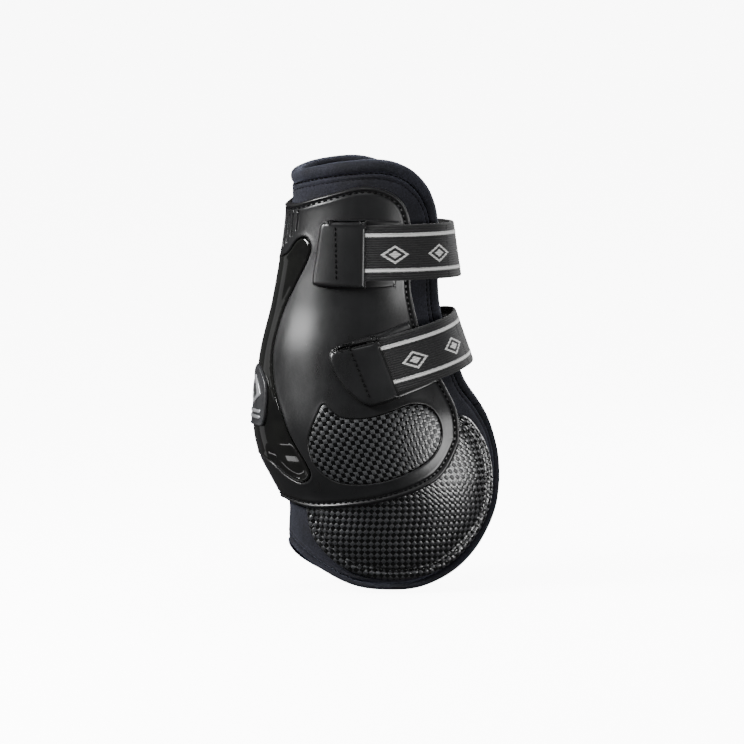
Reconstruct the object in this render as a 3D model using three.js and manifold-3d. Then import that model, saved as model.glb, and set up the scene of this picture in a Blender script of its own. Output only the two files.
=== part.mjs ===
// A hind fetlock boot for a horse: a padded neoprene liner wrapped round the back and both sides of the leg,
// a moulded shell over it with a glossy spine insert, a woven guard over the pastern, and two elastic straps
// that close across the open front. Millimetres and degrees, +Z up the leg, +X to the open front, -Y the side
// the straps are sewn to, +Y the side they fasten on.
// Every layer lies on one leg surface, as a place (turn, height) and an offset outwards: turn is 0 at the
// spine, +90 at the sewn side, 180 at the middle of the open front and -90 at the fastening side.
import * as THREE from "three";
import { mergeVertices } from "three/addons/utils/BufferGeometryUtils.js";
import Module from "manifold-3d";

const wasm = await Module();
wasm.setup();

// ---- Driving dimensions

const GAP = 0.4; // between pieces that touch
const LINER = 5; // neoprene thickness; the liner's outer face is the leg surface, offset 0
const BINDING_PROUD = 0.7; // the rolled edge stands this far out of the liner on both faces
const COLLAR_WIDTH = 7; // width of the rolled edge round the top
const FLAP_WIDTH = 3.6; // and round the pastern flap
const SHELL = 3; // shell wall
const SHELL_OUT = GAP + SHELL;
const WEAVE = 1.2; // thickness of the woven guards and inlays
const ANCHOR_OUT = 7.8; // offset of the strap anchors' outer face
const ELASTIC_IN = 5.1; // offset of the elastic's inner face where it leaves its anchor
const ELASTIC = 1.4; // elastic thickness
const ELASTIC_WIDTH = 28.8;
const LOOP = 1; // thickness of the loop pads, and of the hook pads
const TAB = 2.8;
const TAB_SKIN = 0.3; // how far the pull tab reaches in past the elastic's inner face
const BADGE = 1.3;

// The leg surface at heights up the leg: how far it reaches back and forwards, and its half width.
const SECTIONS = [
  { z: 0, back: -33, front: 70, half: 33 },
  { z: 12, back: -36.5, front: 71, half: 36.5 },
  { z: 27, back: -40, front: 73, half: 40 },
  { z: 44, back: -40, front: 75.5, half: 43 },
  { z: 56, back: -45.8, front: 76, half: 44.5 },
  { z: 68, back: -52, front: 75.5, half: 44.5 },
  { z: 82, back: -55.4, front: 72, half: 44.5 },
  { z: 95, back: -54.8, front: 67.5, half: 43.5 },
  { z: 123, back: -52, front: 52, half: 38 },
  { z: 150, back: -45.5, front: 43, half: 33.5 },
  { z: 190, back: -39, front: 42, half: 31.5 },
  { z: 226, back: -37.5, front: 41, half: 29 },
];

// Edge lines as (turn, height) points from the spine to the front, on the sewn side. The other side mirrors
// them.
const TOP_EDGE = [[0, 217], [30, 219.8], [60, 222.7], [90, 223.8], [112, 220], [130, 211.3], [142, 200],
  [146.5, 188]];
const FRONT_EDGE = [[148, 72], [148, 84], [144.5, 98], [141.5, 109], [144, 121], [146, 158], [146.5, 188]];
const BOTTOM_EDGE = [[0, 23], [15, 17.5], [34, 9.5], [55, 2], [76, 0], [95, 1.4], [115, 9], [130, 20],
  [140, 33.5], [146, 52], [148, 72]];
const BINDING_JOIN = 98; // height at the front edge where the collar binding meets the flap binding

const SHELL_TOP = [[0, 200.5], [20, 201], [45, 205], [75, 210], [94, 207.5], [106, 200.5], [111.5, 189]];
const SHELL_FRONT = [[118, 78], [120.5, 90], [120.5, 104], [115.5, 142], [112.5, 160], [111.5, 189]];
const SHELL_BOTTOM = [[0, 46.5], [15, 44.5], [35, 43], [61, 45.4], [78, 48.8], [94, 54.3], [106, 61.8],
  [118, 78]];

const GUARD_EDGE = [[24.5, 41], [28.5, 31.5], [37.5, 20.5], [50, 11.8], [66, 7], [84, 6], [103, 9.4],
  [118.5, 18], [130.5, 30.5], [136.5, 45.5], [138.3, 61], [136.6, 76.5], [131, 87.5], [125, 91.5]];
const GUARD_TOP = [[24.5, 42], [44, 42.5], [61, 44.2], [78, 47.6], [94, 53], [107, 60.6], [119.5, 77],
  [122, 90]];

const INLAY = [[54.5, 98], [49.5, 88.5], [45.5, 77], [46, 66], [52, 59], [62, 57], [76, 58.6], [90, 63.4],
  [101, 70], [108, 79], [109.5, 88], [106, 96], [98, 98], [88, 95], [76, 91.3], [64, 91.3], [58, 95.5]];
const INSERT = [[0, 172], [14, 175], [24, 181.5], [33, 183], [38.5, 178], [36, 170], [29, 159], [21, 146],
  [18.6, 132], [19.5, 119], [24, 104], [31, 90], [38, 75], [41, 65], [38.5, 59.5], [31, 57], [23, 60],
  [14, 67], [0, 70]];
const BADGE_OUTLINE = [[0, 117], [7.5, 114.2], [14.5, 109.5], [17.2, 103], [17, 92], [15.5, 86.2], [13, 85]];
const FLEX_GROOVES = [{ turn: 0, bottom: 178 }, { turn: 9, bottom: 180 }, { turn: 15.5, bottom: 183.5 },
  { turn: 22.5, bottom: 187 }];

// Each strap runs in its own plane: middle is the height where it passes the two sides, rise how much
// higher it is at the front, frontX how far forward it stands there and lean how much its top edge is drawn
// in there for its width. anchored is the turn where it is sewn down, exit where it leaves its anchor, tab
// where the pull tab begins.
const STRAPS = {
  upper: { middle: 176, rise: 0, frontX: 47.4, lean: 0.15, anchored: 58, exit: 77, tab: 276 },
  lower: { middle: 118.3, rise: 13, frontX: 51, lean: 0, anchored: 73, exit: 89, tab: 270 },
};
const ANCHORS = {
  upper: [[50, 192.2], [47, 188], [46.2, 162], [48.8, 159], [60, 158.2], [80, 157.6], [99, 158.2], [101, 160],
    [102.5, 190], [100.5, 192], [80, 193], [60, 192.9]],
  lower: [[62, 126], [61, 120.5], [66.5, 109], [72.8, 100.4], [77, 97.6], [81, 98], [99, 103.8], [115, 109],
    [116.5, 111.5], [110, 137.6], [106, 139.4], [92, 135.2], [76, 131.2], [66, 128.4]],
};

// ---- Materials

const NEOPRENE = new THREE.MeshStandardMaterial({ color: 0x14151c, roughness: 0.9 });
const BINDING = new THREE.MeshStandardMaterial({ color: 0x17181f, roughness: 0.88 });
const MATTE = new THREE.MeshStandardMaterial({ color: 0x1a1b1d, roughness: 0.42 });
const GLOSS = new THREE.MeshStandardMaterial({ color: 0x060606, roughness: 0.06 });
const CARBON = new THREE.MeshStandardMaterial({ color: 0x101113, roughness: 0.25 });
const LABEL = new THREE.MeshStandardMaterial({ color: 0x3a3b3e, roughness: 0.35, metalness: 0.3 });
const WEBBING = new THREE.MeshStandardMaterial({ color: 0x1c1c1d, roughness: 0.85 });
const HOOK_LOOP = new THREE.MeshStandardMaterial({ color: 0x0c0c0e, roughness: 0.95 });

const boot = new THREE.Group();

// ---- The leg surface

const rad = THREE.MathUtils.degToRad;

// One figure of the section at a height, as a smooth curve through the listed sections.
function sectionAt(key, height) {
  const z = THREE.MathUtils.clamp(height, SECTIONS[0].z, SECTIONS.at(-1).z);
  const k = Math.max(0, SECTIONS.findLastIndex((s, i) => s.z <= z && i < SECTIONS.length - 1));
  const slope = (i) => {
    const before = SECTIONS[Math.max(0, i - 1)];
    const after = SECTIONS[Math.min(SECTIONS.length - 1, i + 1)];
    return (after[key] - before[key]) / (after.z - before.z);
  };
  const [low, high] = [SECTIONS[k], SECTIONS[k + 1]];
  const h = high.z - low.z;
  const t = (z - low.z) / h;
  const [t2, t3] = [t * t, t * t * t];
  return (2 * t3 - 3 * t2 + 1) * low[key] + (t3 - 2 * t2 + t) * h * slope(k)
    + (3 * t2 - 2 * t3) * high[key] + (t3 - t2) * h * slope(k + 1);
}

function legPoint(turn, z, offset) {
  const [back, front, half] = ["back", "front", "half"].map((key) => sectionAt(key, z));
  const centre = (back + front) / 2;
  const reach = (front - back) / 2 + offset;
  return new THREE.Vector3(centre - reach * Math.cos(rad(turn)), -(half + offset) * Math.sin(rad(turn)), z);
}

// Millimetres along the surface for each degree of turn.
function turnScale(turn, z) {
  return legPoint(turn + 0.5, z, 0).distanceTo(legPoint(turn - 0.5, z, 0));
}

// ---- Builders

function node(name, geometry, material) {
  const mesh = new THREE.Mesh(geometry, material);
  mesh.name = name;
  boot.add(mesh);
  return mesh;
}

// A closed sheet: a box of nu by nv cells whose corners go to place(u, v, side), with u, v and side from 0
// to 1.
function bentSheet(nu, nv, place) {
  const box = new THREE.BoxGeometry(1, 1, 1, nu, nv, 1);
  box.deleteAttribute("normal");
  box.deleteAttribute("uv");
  const geometry = mergeVertices(box);
  const position = geometry.getAttribute("position");
  for (let i = 0; i < position.count; i++) {
    const point = place(position.getX(i) + 0.5, position.getY(i) + 0.5, position.getZ(i) + 0.5);
    position.setXYZ(i, point.x, point.y, point.z);
  }
  return geometry;
}

const curve = (points) => new THREE.SplineCurve(points.map(([x, y]) => new THREE.Vector2(x, y)));
const mix = THREE.MathUtils.lerp;
const ease = THREE.MathUtils.smoothstep;

const reflected = (p) => new THREE.Vector2(-p.x, p.y);

// The points of an edge line moved sideways by width(height) in millimetres, to the left of its direction
// of travel. A line that starts or ends on the spine is taken to carry on as its own mirror image.
function shifted(points, width) {
  return points.map((p, i) => {
    const distance = width(p.y);
    const beyond = (other) => (Math.abs(p.x) < 1e-6 ? reflected(other) : p);
    const a = points[i - 1] ?? beyond(points[i + 1]);
    const b = points[i + 1] ?? beyond(points[i - 1]);
    const scale = turnScale(p.x, p.y);
    const along = new THREE.Vector2((b.x - a.x) * scale, b.y - a.y).normalize();
    return new THREE.Vector2(p.x - (along.y * distance) / scale, p.y + along.x * distance);
  });
}

const mirrored = (points) => points.map(reflected).reverse();

// A symmetric wrap round the back of the leg, between a bottom, a front and a top edge line given for one
// side. Its rows crowd towards the bottom by the power given.
function wrap(bottom, front, top, nu, nv, inner, outer, crowd = 1) {
  const across = (line, u) => line.getPoint(Math.min(1, Math.abs(u)));
  return bentSheet(nu, nv, (u01, row, side) => {
    const u = 2 * u01 - 1;
    const v = row ** crowd;
    const [b, t, f] = [across(bottom, u), across(top, u), front.getPoint(v)];
    const [b0, b1, t0, t1] = [bottom.getPoint(0), bottom.getPoint(1), top.getPoint(0), top.getPoint(1)];
    const k = Math.abs(u);
    const coons = (axis) => mix(b[axis], t[axis], v) + mix(mix(b0[axis], t0[axis], v), f[axis], k)
      - mix(mix(b0[axis], b1[axis], k), mix(t0[axis], t1[axis], k), v);
    return legPoint(Math.sign(u) * coons("x"), coons("y"), mix(inner, outer, side));
  });
}

// A flat outline laid on the leg surface, sliced into columns of turn. The outline has one stretch in each
// column.
function plate(outline, inner, outer, columns, rows) {
  const xs = outline.map((p) => p.x);
  const [first, last] = [Math.min(...xs), Math.max(...xs)];
  const stretch = (x) => {
    const heights = [];
    outline.forEach((p, i) => {
      const q = outline[(i + 1) % outline.length];
      if ((p.x <= x) !== (q.x <= x)) heights.push(mix(p.y, q.y, (x - p.x) / (q.x - p.x)));
    });
    return [Math.min(...heights), Math.max(...heights)];
  };
  const trim = 0.012; // the end columns stop just inside the outline, where it still has height
  return bentSheet(columns, rows, (u, v, side) => {
    const eased = mix(u, (1 - Math.cos(Math.PI * u)) / 2, 0.7);
    const turn = mix(first, last, mix(trim, 1 - trim, eased));
    const [low, high] = stretch(turn);
    return legPoint(turn, mix(low, high, v), mix(inner, outer, side));
  });
}

// A closed smooth outline through a ring of points.
function ring(points, samples) {
  return curve([...points, points[0]]).getPoints(samples).slice(0, -1);
}

const flip = (outline) => outline.map(reflected);

// Grows or shrinks an outline about its middle, by about a distance in millimetres.
function grown(outline, distance) {
  const middle = outline.reduce((sum, p) => sum.add(p), new THREE.Vector2()).divideScalar(outline.length);
  return outline.map((p) => {
    const out = p.clone().sub(middle);
    return p.clone().add(out.multiplyScalar(distance / out.length()));
  });
}

// ---- Booleans

function solid(geometry) {
  const merged = mergeVertices(geometry, 1e-4);
  const position = merged.getAttribute("position");
  return new wasm.Manifold(new wasm.Mesh({
    numProp: 3,
    vertProperties: new Float32Array(position.array),
    triVerts: new Uint32Array(merged.index.array),
  }));
}

function geometryOf(manifold) {
  const mesh = manifold.getMesh();
  const geometry = new THREE.BufferGeometry();
  geometry.setAttribute("position", new THREE.BufferAttribute(mesh.vertProperties, 3));
  geometry.setIndex(new THREE.BufferAttribute(mesh.triVerts, 1));
  return geometry;
}

const cut = (geometry, ...cutters) =>
  geometryOf(cutters.reduce((left, cutter) => left.subtract(solid(cutter)), solid(geometry)));

// ---- Liner and its bindings

const edges = {
  top: curve(TOP_EDGE).getPoints(14),
  front: curve(FRONT_EDGE).getPoints(14),
  bottom: curve(BOTTOM_EDGE).getPoints(16),
};
const bindingWidth = (z) => mix(FLAP_WIDTH, COLLAR_WIDTH, ease(z, 70, 150));

// A line through points that is looked up by a share of its length.
function straight(points) {
  const path = new THREE.Path(points);
  return { getPoint: (t) => path.getPoint(THREE.MathUtils.clamp(t, 0, 1)) };
}

function linerWrap() {
  const inward = (sign) => (z) => sign * (bindingWidth(z) + 1.5 * GAP);
  const top = shifted(edges.top, inward(-1));
  const bottom = shifted(edges.bottom, inward(1));
  const front = shifted(edges.front, inward(1))
    .filter((p) => p.y > bottom.at(-1).y + 2 && p.y < top.at(-1).y - 2);
  return wrap(
    straight(bottom), straight([bottom.at(-1), ...front, top.at(-1)]), straight(top), 28, 27, -LINER, 0, 1.5);
}

// A rolled edge: a band between an edge line and the same line moved in by the binding's width.
function binding(line, steps) {
  const outer = straight(line);
  const inner = straight(shifted(line, (z) => -bindingWidth(z)));
  return bentSheet(steps, 1, (u, v, side) => {
    const p = inner.getPoint(u).clone().lerp(outer.getPoint(u), v);
    return legPoint(p.x, p.y, mix(-LINER - BINDING_PROUD, BINDING_PROUD, side));
  });
}

// Where the front edge passes a height.
function frontAt(z) {
  const k = edges.front.findIndex((p) => p.y > z && p.y > BOTTOM_EDGE.at(-1)[1]);
  const [low, high] = [edges.front[k - 1], edges.front[k]];
  return low.clone().lerp(high, (z - low.y) / (high.y - low.y));
}

const upperFront = [
  frontAt(BINDING_JOIN + GAP), ...edges.front.filter((p) => p.y > BINDING_JOIN + 3)].reverse();
const lowerFront = [...edges.front.filter((p) => p.y < BINDING_JOIN - 3), frontAt(BINDING_JOIN)].reverse();
const collarSide = [...edges.top.slice(0, -1), ...upperFront];
const flapSide = [...lowerFront.slice(0, -1), ...[...edges.bottom].reverse()];

node("neoprene_liner", linerWrap(), NEOPRENE);
node("collar_binding", binding([...mirrored(collarSide).slice(0, -1), ...collarSide], 56), BINDING);
node("flap_binding", binding([...flapSide, ...mirrored(flapSide).slice(1)], 52), BINDING);

// ---- Shell, with its window for the spine insert, its flex grooves and its recesses for the woven inlays

const SIDES = { near: (outline) => outline, far: flip };
const insertSide = curve(INSERT).getPoints(44);
const inlayOutline = ring(INLAY, 60);

// The spine insert is built as two halves that meet at the spine, each with one stretch of height per
// column except at the lobes, so it is a band between its two waisted edges.
function insertBand(inner, outer, grow) {
  const [top, bottom] = [insertSide.filter((p) => p.y > 132), insertSide.filter((p) => p.y <= 132).reverse()];
  const lobeTop = top.reduce((best, p, i) => (p.x > top[best].x ? i : best), 0);
  const lobeBottom = bottom.reduce((best, p, i) => (p.x > bottom[best].x ? i : best), 0);
  const side = [...bottom.slice(lobeBottom), ...top.slice(lobeTop).reverse()];
  const topEdge = top.slice(0, lobeTop + 1);
  const bottomEdge = bottom.slice(0, lobeBottom + 1);
  return wrap(
    straight(shifted(bottomEdge, () => -grow)),
    straight(shifted(side, () => -grow)),
    straight(shifted(topEdge, () => grow)),
    16, 16, inner, outer);
}

function grooveCutter({ turn, bottom }) {
  const half = 0.9; // half the groove's width, in degrees
  return bentSheet(1, 3, (u, v, side) =>
    legPoint(turn + mix(-half, half, u), mix(bottom, 196.5, v), mix(SHELL_OUT - 0.8, SHELL_OUT + 2, side)));
}

const grooves = FLEX_GROOVES.flatMap((g) => (g.turn ? [g, { ...g, turn: -g.turn }] : [g]));
const shellWrap = wrap(
  curve(SHELL_BOTTOM), curve(SHELL_FRONT), curve(SHELL_TOP), 30, 16, GAP, SHELL_OUT, 1.2);
node("moulded_shell", cut(
  shellWrap,
  insertBand(-1, SHELL_OUT + 4, GAP),
  plate(grown(inlayOutline, 2 * GAP), SHELL_OUT - WEAVE - GAP, SHELL_OUT + 4, 16, 3),
  plate(flip(grown(inlayOutline, 2 * GAP)), SHELL_OUT - WEAVE - GAP, SHELL_OUT + 4, 16, 3),
  ...grooves.map(grooveCutter)), MATTE);
node("spine_insert", insertBand(GAP, SHELL_OUT - 0.5, 0), GLOSS);
for (const [side, turned] of Object.entries(SIDES)) {
  node(`woven_inlay_${side}`, plate(turned(inlayOutline), SHELL_OUT - WEAVE, SHELL_OUT, 16, 3), CARBON);
}

// The woven guard lies on the liner from just under the shell's lower edge to the flap binding.
for (const [side, sign] of [["near", 1], ["far", -1]]) {
  const [low, high] = [curve(GUARD_EDGE), curve(GUARD_TOP)];
  node(`pastern_guard_${side}`, bentSheet(22, 6, (u01, v, depth) => {
    const u = sign > 0 ? u01 : 1 - u01;
    const p = low.getPointAt(u).lerp(high.getPointAt(u), v);
    return legPoint(sign * p.x, p.y, mix(GAP, GAP + WEAVE, depth));
  }), CARBON);
}

// The badge is a blank plate with a pointed top, laid round the spine on the insert.
const badgeSide = curve(BADGE_OUTLINE).getPoints(16);
const badgeInner = SHELL_OUT - 0.5 + GAP;
node("badge_plate",
  plate([...badgeSide, ...mirrored(badgeSide.slice(1))], badgeInner, badgeInner + BADGE, 12, 4), LABEL);

// ---- Straps

const ELASTIC_IN_FAR = SHELL_OUT + GAP + LOOP + GAP + LOOP + GAP + TAB_SKIN; // on the fastening side

// A point of a strap: turn along its path, across its width from -1 to 1, and offset out of its inner face.
// Over the two sides the strap lies on the leg surface, and across the open front it bridges the gap.
function strapPoint(strap, turn, across, offset) {
  const [cosine, sine] = [Math.cos(rad(turn)), Math.sin(rad(turn))];
  const tilt = Math.atan2(strap.rise, 36);
  const w = (across * ELASTIC_WIDTH) / 2;
  const middle = strap.middle - strap.rise * cosine;
  const z = middle + w * Math.cos(tilt);
  const lift = mix(ELASTIC_IN, ELASTIC_IN_FAR, ease(turn, 120, 240));
  const from = Math.min(turn, 360 - turn);
  const bridging = ease(from, 118, 174);
  const section = (height) => ["back", "front", "half"].map((key) => sectionAt(key, height));

  const [back, front, half] = section(middle);
  const centre = (back + front) / 2;
  const reach = mix((front - back) / 2 + lift, strap.frontX - centre, bridging) + offset;
  const x = centre - reach * cosine - w * (Math.sin(tilt) + strap.lean * bridging);
  const bridged = new THREE.Vector3(x, -(half + lift + offset) * sine, z);

  const [backHere, frontHere] = section(z);
  const share = ((backHere + frontHere) / 2 - x) / ((frontHere - backHere) / 2 + lift + offset);
  const turnHere = THREE.MathUtils.radToDeg(Math.acos(THREE.MathUtils.clamp(share, -1, 1)));
  const laid = legPoint(Math.sign(sine) * turnHere, z, lift + offset);
  return laid.lerp(bridged, ease(from, 102, 132));
}

function strapRun(strap, from, to, steps, wider = 0, inner = 0, outer = ELASTIC) {
  return bentSheet(steps, 1, (u, v, side) =>
    strapPoint(strap, mix(from, to, u), (2 * v - 1) * (1 + (2 * wider) / ELASTIC_WIDTH),
      mix(inner, outer, side)));
}

const TAB_LENGTH = 40; // degrees of turn from the tab's front edge to its free end
const HINGE_SLIT = 0.45; // half the slit between two runs at a hinge, in degrees
const TAB_SEWN = 13; // degrees of elastic inside the tab

for (const [name, strap] of Object.entries(STRAPS)) {
  const hinge = strap.exit + 2;
  const sleeve = strapRun(strap, strap.anchored - 1, hinge + 60, 18, 1.5 * GAP, -GAP, ELASTIC + GAP);
  const mouth = strapRun(strap, strap.exit, hinge + 60, 14, 1.5 * GAP, ELASTIC / 2, ELASTIC + 6);
  const anchor = plate(ring(ANCHORS[name], 56), SHELL_OUT + GAP, ANCHOR_OUT, 14, 3);
  node(`${name}_strap_anchor`, cut(anchor, sleeve, mouth), MATTE);
  node(`${name}_elastic_sewn_end`, strapRun(strap, strap.anchored, hinge - HINGE_SLIT, 4), WEBBING);
  node(`${name}_elastic_near_run`, strapRun(strap, hinge + HINGE_SLIT, 180 - HINGE_SLIT, 16), WEBBING);
  node(`${name}_elastic_far_run`, strapRun(strap, 180 + HINGE_SLIT, strap.tab - 2.4, 16), WEBBING);

  const rounded = (u) => mix(1.06, 0.74, u ** 3);
  const tabPoint = (u, v, offset) =>
    strapPoint(strap, mix(strap.tab, strap.tab + TAB_LENGTH, u), (2 * v - 1) * rounded(u), offset);
  const tab = bentSheet(10, 3, (u, v, side) => tabPoint(u, v, mix(-TAB_SKIN, TAB - TAB_SKIN, side)));
  const socket = strapRun(strap, strap.tab - 4, strap.tab + TAB_SEWN + 1, 8, GAP, -3, ELASTIC + GAP);
  node(`${name}_pull_tab`, cut(tab, socket), MATTE);
  node(`${name}_elastic_tab_end`,
    strapRun(strap, strap.tab - 2.4 + 2 * HINGE_SLIT, strap.tab + TAB_SEWN, 5), WEBBING);
  const pad = (from, to, inner) => bentSheet(9, 3, (u, v, side) =>
    tabPoint(mix(from, to, u), mix(0.06, 0.94, v), inner + LOOP * side));
  node(`${name}_hook_pad`, pad(0.03, 0.92, -TAB_SKIN - GAP - LOOP), HOOK_LOOP);
  node(`${name}_loop_pad`, pad(-0.25, 1.02, -TAB_SKIN - 2 * GAP - 2 * LOOP), HOOK_LOOP);
}

export default boot;
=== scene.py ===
import math

import bpy
import numpy as np
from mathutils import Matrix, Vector
from mathutils.geometry import delaunay_2d_cdt


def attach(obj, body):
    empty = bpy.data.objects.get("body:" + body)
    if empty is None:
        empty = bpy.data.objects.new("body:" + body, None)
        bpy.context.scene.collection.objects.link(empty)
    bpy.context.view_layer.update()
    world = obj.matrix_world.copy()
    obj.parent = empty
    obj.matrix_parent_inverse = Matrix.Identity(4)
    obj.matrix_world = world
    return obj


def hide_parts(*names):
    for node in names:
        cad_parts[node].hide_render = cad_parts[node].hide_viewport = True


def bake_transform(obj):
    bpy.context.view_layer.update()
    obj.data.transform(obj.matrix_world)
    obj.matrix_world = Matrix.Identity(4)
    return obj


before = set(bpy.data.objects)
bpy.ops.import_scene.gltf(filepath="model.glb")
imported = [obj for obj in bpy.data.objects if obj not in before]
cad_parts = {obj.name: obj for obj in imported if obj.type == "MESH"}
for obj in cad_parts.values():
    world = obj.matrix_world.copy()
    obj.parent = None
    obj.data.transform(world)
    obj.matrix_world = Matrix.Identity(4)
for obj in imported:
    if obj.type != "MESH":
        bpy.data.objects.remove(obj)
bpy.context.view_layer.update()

MM = 0.001


def outward(azimuth, elevation):
    """The unit vector toward an azimuth and elevation in radians. Azimuth 0 is the -Y side."""
    level = math.cos(elevation)
    return Vector((math.sin(azimuth) * level, -math.cos(azimuth) * level, math.sin(elevation)))


# ---- camera
AZIMUTH, ELEVATION = math.radians(-13), math.radians(5)
LENS, SENSOR = 250.0, 36.0
IMAGE_SIDE = 744
MM_PER_PIXEL = 0.52
AIM_RIGHT, AIM_UP = 3.64, 110.8
DEPTH = 26.0  # mm in front of the axis at which the scale holds
BACK = outward(AZIMUTH, ELEVATION)
RIGHT = Vector((math.cos(AZIMUTH), math.sin(AZIMUTH), 0))
UP = BACK.cross(RIGHT)

camera_distance = IMAGE_SIDE * MM_PER_PIXEL / 2 / (SENSOR / 2 / LENS)
aim = RIGHT * AIM_RIGHT + UP * AIM_UP + BACK * DEPTH
cam_data = bpy.data.cameras.new("camera")
cam_data.lens, cam_data.sensor_width = LENS, SENSOR
cam_data.clip_start, cam_data.clip_end = 0.1, 50
camera = bpy.data.objects.new("camera", cam_data)
bpy.context.scene.collection.objects.link(camera)
camera.rotation_mode = "QUATERNION"
camera.location = (aim + BACK * camera_distance) * MM
camera.rotation_quaternion = (-BACK).to_track_quat("-Z", "Y")
bpy.context.scene.camera = camera

# ---- the leg surface, in millimetres as in the CAD
# Each section is (height, back, front, half width).
SECTIONS = np.array([
    (0, -33, 70, 33), (12, -36.5, 71, 36.5), (27, -40, 73, 40), (44, -40, 75.5, 43), (56, -45.8, 76, 44.5),
    (68, -52, 75.5, 44.5), (82, -55.4, 72, 44.5), (95, -54.8, 67.5, 43.5), (123, -52, 52, 38),
    (150, -45.5, 43, 33.5), (190, -39, 42, 31.5), (226, -37.5, 41, 29)], float)
HEIGHTS, SIZES = SECTIONS[:, 0], SECTIONS[:, 1:]
order = np.arange(len(HEIGHTS))
below, above = np.maximum(order - 1, 0), np.minimum(order + 1, len(HEIGHTS) - 1)
SLOPES = (SIZES[above] - SIZES[below]) / (HEIGHTS[above] - HEIGHTS[below])[:, None]


def section(z):
    """(back, front, half width) at heights z, each an array."""
    z = np.clip(np.asarray(z, float), HEIGHTS[0], HEIGHTS[-1])
    k = np.clip(np.searchsorted(HEIGHTS, z, side="right") - 1, 0, len(HEIGHTS) - 2)
    h = HEIGHTS[k + 1] - HEIGHTS[k]
    t = ((z - HEIGHTS[k]) / h)[..., None]
    h = h[..., None]
    out = ((2 * t**3 - 3 * t**2 + 1) * SIZES[k] + (t**3 - 2 * t**2 + t) * h * SLOPES[k]
           + (3 * t**2 - 2 * t**3) * SIZES[k + 1] + (t**3 - t**2) * h * SLOPES[k + 1])
    return out[..., 0], out[..., 1], out[..., 2]


def leg(turn, z, d=0.0):
    """Points on the leg surface: turn in degrees from the spine, height, and offset outwards."""
    turn, z, d = np.broadcast_arrays(np.asarray(turn, float), np.asarray(z, float), np.asarray(d, float))
    back, front, half = section(z)
    a = np.radians(turn)
    x = (back + front) / 2 - ((front - back) / 2 + d) * np.cos(a)
    return np.stack([x, -(half + d) * np.sin(a), z], -1)


# Lengths round the surface from the spine, tabled so that patterns and edges keep their real size.
TABLE_STEP = 2.0
TABLE_Z = np.arange(-4, 232, TABLE_STEP)
TABLE_TURN = np.arange(0, 181, 1.0)
around = leg(TABLE_TURN[None, :], TABLE_Z[:, None])
ROUND = np.concatenate([np.zeros((len(TABLE_Z), 1)),
                        np.cumsum(np.linalg.norm(np.diff(around[..., :2], axis=1), axis=-1), axis=1)], axis=1)


def arc(turn, z):
    """Millimetres from the spine to a turn, at a height. It has the sign of the turn."""
    turn, z = np.broadcast_arrays(np.asarray(turn, float), np.asarray(z, float))
    t = np.clip(np.abs(turn), 0, 179.999)
    y = np.clip((z - TABLE_Z[0]) / TABLE_STEP, 0, len(TABLE_Z) - 1.001)
    i, j = y.astype(int), t.astype(int)
    fy, ft = y - i, t - j
    low = ROUND[i, j] * (1 - ft) + ROUND[i, j + 1] * ft
    high = ROUND[i + 1, j] * (1 - ft) + ROUND[i + 1, j + 1] * ft
    return np.sign(turn) * (low * (1 - fy) + high * fy)


def turn_at(s, z):
    """The turn that lies s millimetres round from the spine at a height, by Newton's method."""
    s, z = np.broadcast_arrays(np.asarray(s, float), np.asarray(z, float))
    t = s * 1.15  # about the degrees in a millimetre
    for _ in range(7):
        slope = arc(t + 0.5, z) - arc(t - 0.5, z)
        t = np.clip(t + (s - arc(t, z)) / np.maximum(slope, 0.2), -178, 178)
    return t


class Leg:
    """Flat coordinates on the leg: x is the length round from the turn called middle, y the height."""

    def __init__(self, middle=0.0):
        self.middle = middle

    def flat(self, points):
        p = np.asarray(points, float)
        return np.stack([arc(p[:, 0], p[:, 1]) - arc(self.middle, p[:, 1]), p[:, 1]], -1)

    def unflat(self, xy):
        return turn_at(xy[:, 0] + arc(self.middle, xy[:, 1]), xy[:, 1]), xy[:, 1]

    def place(self, xy, d):
        turn, z = self.unflat(xy)
        return leg(turn, z, d)


# ---- lines
def spline(points, closed=False, per=16):
    """A dense smooth line through points: uniform Catmull-Rom, as the CAD uses."""
    p = np.asarray(points, float)
    n = len(p)
    out = []
    for i in range(n if closed else n - 1):
        if closed:
            a, b, c, d = p[(i - 1) % n], p[i], p[(i + 1) % n], p[(i + 2) % n]
        else:
            a, b, c, d = p[max(i - 1, 0)], p[i], p[i + 1], p[min(i + 2, n - 1)]
        t = np.arange(per)[:, None] / per
        v0, v1 = (c - a) / 2, (d - b) / 2
        out.append((2 * b - 2 * c + v0 + v1) * t**3 + (-3 * b + 3 * c - 2 * v0 - v1) * t**2 + v0 * t + b)
    out = np.concatenate(out)
    return out if closed else np.concatenate([out, p[-1:]])


def resample(line, step, closed=False):
    """Points about step apart along a flat line."""
    p = np.concatenate([line, line[:1]]) if closed else line
    s = np.concatenate([[0], np.cumsum(np.linalg.norm(np.diff(p, axis=0), axis=1))])
    n = max(3, int(round(s[-1] / step)))
    at = np.linspace(0, s[-1], n + 1)
    at = at[:-1] if closed else at
    return np.stack([np.interp(at, s, p[:, k]) for k in range(p.shape[1])], -1)


def area(loop):
    """The area in a flat loop, which is negative if the loop is clockwise."""
    x, y = loop[:, 0], loop[:, 1]
    return 0.5 * np.sum(x * np.roll(y, -1) - np.roll(x, -1) * y)


def normals(line, closed):
    """Unit normals to the left of a flat line."""
    if closed:
        t = np.roll(line, -1, 0) - np.roll(line, 1, 0)
    else:
        t = np.gradient(line, axis=0)
    n = np.stack([-t[:, 1], t[:, 0]], -1)
    return n / np.maximum(np.linalg.norm(n, axis=1, keepdims=True), 1e-9)


def counter_clockwise(loop):
    return loop if area(loop) > 0 else loop[::-1]


def mirror(points):
    """Points on the far side, from points on the near side."""
    return np.asarray(points, float) * (-1, 1)


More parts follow.
